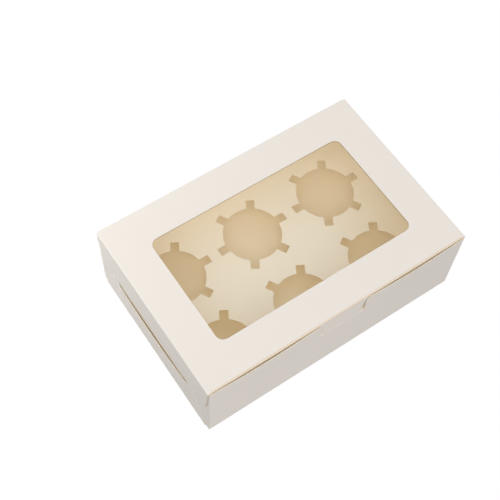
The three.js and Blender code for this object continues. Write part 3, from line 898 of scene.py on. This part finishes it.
def board_finishes():
    """The materials of every face of the board, made once. Each has the share that its
    colour moves by, its roughness, the height of its grain in metres and the grain's scales."""
    if "coated board" in bpy.data.materials:
        return SimpleNamespace(**{key: bpy.data.materials[key + " board"]
                                  for key in ("coated", "plain", "edge", "insert", "window")})
    look = bpy.context.scene.carton_finish
    grain = board_grain_group()
    return SimpleNamespace(
        coated=board_material("coated board", grain, look.coated, contrast=0.012,
                              roughness=0.50, height=0.00002, cloud=45, tooth=2600,
                              fibre=0.2, fold_shade_colour=look.fold_shade_tint),
        plain=board_material("plain board", grain, look.plain, contrast=0.035,
                             roughness=0.72, height=0.00004, cloud=90, tooth=1800,
                             fibre=0.55, painted_glow=look.painted_glow),
        edge=board_material("edge board", grain, look.edge, contrast=0.06, roughness=0.8,
                            height=0.00006, cloud=200, tooth=4200, fibre=0.6),
        # The window's cut edge: the board's edge painted dark, as painted shade.
        window=board_material("window board", grain, look.window, contrast=0.05,
                              roughness=0.8, height=0.00004, cloud=200, tooth=4200,
                              fibre=0.6),
        insert=board_material("insert board", grain, look.insert, contrast=0.03,
                              roughness=0.70, height=0.00004, cloud=80, tooth=1900,
                              fibre=0.5, painted_glow=look.painted_glow),
    )


class CARTON_OT_base(Operator):
    """Fold up the bottom, walls, dust flaps and end flaps"""

    bl_idname = "carton.base"
    bl_label = "Carton base"

    def execute(self, context):
        p, look = places(context.scene.carton_sizes), board_finishes()
        points, faces, kinds, fold_shade_share = thicken(base_patches(p), p.board)
        middle = points[faces].mean(axis=1)
        # Painted light: cut edges along the end flaps' glued sides take the coated colour, as
        # bright as the lit board round them.
        painted_lit_edges = (np.abs(middle[:, 0]) > p.dust_face) & (np.abs(middle[:, 1]) > p.lip_half)
        kinds = np.where(painted_lit_edges & (kinds == EDGE), OUTER, kinds)
        piece = mesh_object("base_board", points, faces, kinds, fold_shade_share,
                            [look.coated, look.plain, look.edge])
        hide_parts("carton_base")
        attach(piece, "base")
        return {"FINISHED"}


class CARTON_OT_lid(Operator):
    """Fold the lid with its window, tuck flap and side flaps"""

    bl_idname = "carton.lid"
    bl_label = "Lid"

    def execute(self, context):
        p, look = places(context.scene.carton_sizes), board_finishes()
        points, faces, kinds, fold_shade_share = thicken(lid_patches(p), p.board)
        # Cut edges round the window take the dark window colour, painted shade.
        middle = np.abs(points[faces].mean(axis=1))[:, :2]
        window = np.array([p.window_length, p.window_width]) / 2
        inside = (middle < window + WELD).all(axis=1)
        kinds = np.where(inside & (kinds == EDGE), SHADED_WINDOW_EDGE, kinds)
        piece = mesh_object("lid_board", points, faces, kinds, fold_shade_share,
                            [look.coated, look.plain, look.edge, look.window])
        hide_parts("lid")
        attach(piece, "lid")
        return {"FINISHED"}


class CARTON_OT_hinge(Operator):
    """Round the crease that the lid turns on"""

    bl_idname = "carton.hinge"
    bl_label = "Hinge crease"

    def execute(self, context):
        p, look = places(context.scene.carton_sizes), board_finishes()
        piece = sheet("hinge_crease", hinge_patches(p), p.board,
                      [look.coated, look.plain, look.edge])
        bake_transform(piece)
        return {"FINISHED"}


class CARTON_OT_insert(Operator):
    """Cut and fold the card that holds the cupcakes"""

    bl_idname = "carton.insert"
    bl_label = "Cupcake insert"

    def execute(self, context):
        p, look = places(context.scene.carton_sizes), board_finishes()
        piece = sheet("insert_card", insert_patches(p), p.board,
                      [look.insert, look.plain, look.edge])
        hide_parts("cupcake_insert")
        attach(piece, "base")
        return {"FINISHED"}


class CARTON_OT_glue(Operator):
    """Run the line of glue between the lid and the film, painted dark as shade under the window's
    edge
    """

    bl_idname = "carton.glue"
    bl_label = "Glue line"

    def execute(self, context):
        p = places(context.scene.carton_sizes)
        glue = shaded_glue_material("shaded glue line", context.scene.carton_finish.glue)
        depth = p.height - p.board - p.film_top - 2 * p.seam
        piece = sheet("shaded_glue_line", glue_patches(p), depth, [glue, glue, glue])
        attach(piece, "lid")
        return {"FINISHED"}


class CARTON_OT_film(Operator):
    """Lay the clear film behind the window"""

    bl_idname = "carton.film"
    bl_label = "Window film"

    def execute(self, context):
        p = places(context.scene.carton_sizes)
        clear = film_material("clear film", context.scene.carton_finish.film)
        piece = sheet("film_sheet", film_patches(p), p.film_top - p.film_foot,
                      [clear, clear, clear])
        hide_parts("window_film")
        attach(piece, "lid")
        return {"FINISHED"}


def camera_matrix(studio):
    """The camera's place, with its line of sight from the azimuth and the elevation, and its
    sides turned by the roll."""
    a, e = studio.azimuth, studio.elevation
    back = Vector((math.sin(a) * math.cos(e), -math.cos(a) * math.cos(e), math.sin(e)))
    level = back.cross(Vector((0, 0, 1))).normalized() * -1
    steep = back.cross(level)
    right = level * math.cos(studio.roll) + steep * math.sin(studio.roll)
    up = back.cross(right)
    place = Vector((-studio.camera_side, -studio.camera_front, studio.camera_height))
    turned = Matrix((right, up, back)).transposed().to_4x4()
    return Matrix.Translation(place) @ turned


def soft_lamp(name, place, power, size):
    """A square lamp that faces the middle of the box."""
    light = bpy.data.lights.new(name, "AREA")
    light.energy = power
    light.size = size
    lamp = bpy.data.objects.new(name, light)
    lamp.location = place
    lamp.rotation_euler = Vector(place).to_track_quat("Z", "Y").to_euler()
    lamp.visible_camera = False
    bpy.context.scene.collection.objects.link(lamp)


def floor_material(name, paint, lift):
    """A pale floor that takes the shadow, lifted to white where the camera sees it lit."""
    material, nodes, links, shader = blank_material(name)
    fill(shader, {"Base Color": (*paint, 1), "Roughness": 0.9, "Emission Color": (1, 1, 1, 1)})
    seen = nodes.new("ShaderNodeLightPath")
    looks = maths(nodes, links, "MAXIMUM", seen.outputs["Is Camera Ray"],
                  seen.outputs["Is Glossy Ray"])
    looks = maths(nodes, links, "MAXIMUM", looks, seen.outputs["Is Transmission Ray"])
    glow = maths(nodes, links, "MULTIPLY", looks, lift)
    links.new(glow, shader.inputs["Emission Strength"])
    return material


def white_sky(studio):
    """A soft sky whose colour goes from the sides' to the top's with the height of the
    direction, held back near the horizon. The camera sees plain white."""
    world = bpy.data.worlds.new("studio sky")
    world.use_nodes = True
    nodes, links = world.node_tree.nodes, world.node_tree.links
    way, axes = nodes.new("ShaderNodeTexCoord"), nodes.new("ShaderNodeSeparateXYZ")
    links.new(way.outputs["Generated"], axes.inputs["Vector"])
    tint = blended(nodes, links, axes.outputs["Z"], studio.side_light, studio.top_light)
    uneven = nodes.new("ShaderNodeVectorMath")
    uneven.operation = "DOT_PRODUCT"
    uneven.inputs[1].default_value = studio.bright_side
    links.new(way.outputs["Generated"], uneven.inputs[0])
    haze = nodes.new("ShaderNodeMapRange")
    fill(haze, {"From Max": studio.haze_top, "To Min": studio.haze})
    links.new(axes.outputs["Z"], haze.inputs["Value"])
    level = maths(nodes, links, "ADD", uneven.outputs["Value"], 1.0)
    level = maths(nodes, links, "MULTIPLY", level, haze.outputs["Result"])
    dimmed = nodes.new("ShaderNodeVectorMath")
    dimmed.operation = "SCALE"
    links.new(tint, dimmed.inputs[0])
    links.new(maths(nodes, links, "MULTIPLY", level, studio.sky), dimmed.inputs["Scale"])
    seen = nodes.new("ShaderNodeLightPath")
    white = blended(nodes, links, seen.outputs["Is Camera Ray"], dimmed.outputs["Vector"],
                    (1, 1, 1))
    links.new(white, nodes["Background"].inputs["Color"])
    bpy.context.scene.world = world


class CARTON_OT_stage(Operator):
    """Set up the camera, the soft light and the white floor"""

    bl_idname = "carton.stage"
    bl_label = "Studio"

    def execute(self, context):
        studio = context.scene.carton_studio
        lens = bpy.data.cameras.new("view")
        lens.lens = studio.lens
        lens.shift_y = studio.shift
        camera = bpy.data.objects.new("view", lens)
        camera.matrix_world = camera_matrix(studio)
        context.scene.collection.objects.link(camera)
        context.scene.camera = camera

        soft_lamp("soft lamp", LAMP_PLACE, studio.lamp, studio.lamp_size)
        soft_lamp("far lamp", FAR_LAMP_PLACE, studio.far_lamp, studio.lamp_size)
        soft_lamp("side lamp", SIDE_LAMP_PLACE, studio.side_lamp, studio.side_lamp_size)
        soft_lamp("front lamp", FRONT_LAMP_PLACE, studio.front_lamp, studio.front_lamp_size)

        line = [-FLOOR_REACH, 0, FLOOR_REACH]
        points, faces, fold_shade_share = patch(line, line, lambda x, y: (x, y, -FLOOR_DROP), (0, 0, 1))
        white = floor_material("studio floor", studio.floor, studio.floor_lift)
        floor = mesh_object("studio_floor", points, faces, np.zeros(len(faces)), fold_shade_share, [white])

        white_sky(studio)
        context.scene.view_settings.view_transform = "Standard"
        return {"FINISHED"}


class CARTON_PT_sidebar(Panel):
    """Sizes, finish, studio and pieces of the carton"""

    bl_label = "Cupcake carton"
    bl_space_type = "VIEW_3D"
    bl_region_type = "UI"
    bl_category = "Carton"

    def draw(self, context):
        scene = context.scene
        for group in (scene.carton_sizes, scene.carton_finish, scene.carton_studio):
            box = self.layout.box()
            for key in group.__annotations__:
                box.prop(group, key)
        for operator in OPERATORS:
            self.layout.operator(operator.bl_idname)


OPERATORS = (CARTON_OT_stage, CARTON_OT_base, CARTON_OT_insert, CARTON_OT_lid,
             CARTON_OT_hinge, CARTON_OT_glue, CARTON_OT_film)
CLASSES = (CartonSizes, CartonFinish, StudioSettings, *OPERATORS, CARTON_PT_sidebar)


def register():
    """Register the classes and hang the settings on the scene."""
    for cls in CLASSES:
        bpy.utils.register_class(cls)
    bpy.types.Scene.carton_sizes = PointerProperty(type=CartonSizes)
    bpy.types.Scene.carton_finish = PointerProperty(type=CartonFinish)
    bpy.types.Scene.carton_studio = PointerProperty(type=StudioSettings)


def unregister():
    """Take the settings off the scene and unregister the classes."""
    del bpy.types.Scene.carton_studio
    del bpy.types.Scene.carton_finish
    del bpy.types.Scene.carton_sizes
    for cls in reversed(CLASSES):
        bpy.utils.unregister_class(cls)


def main():
    """Build the carton and its studio."""
    register()
    bpy.ops.carton.stage()
    bpy.ops.carton.base()
    bpy.ops.carton.insert()
    bpy.ops.carton.lid()
    bpy.ops.carton.hinge()
    bpy.ops.carton.glue()
    bpy.ops.carton.film()


if __name__ == "__main__":
    main()
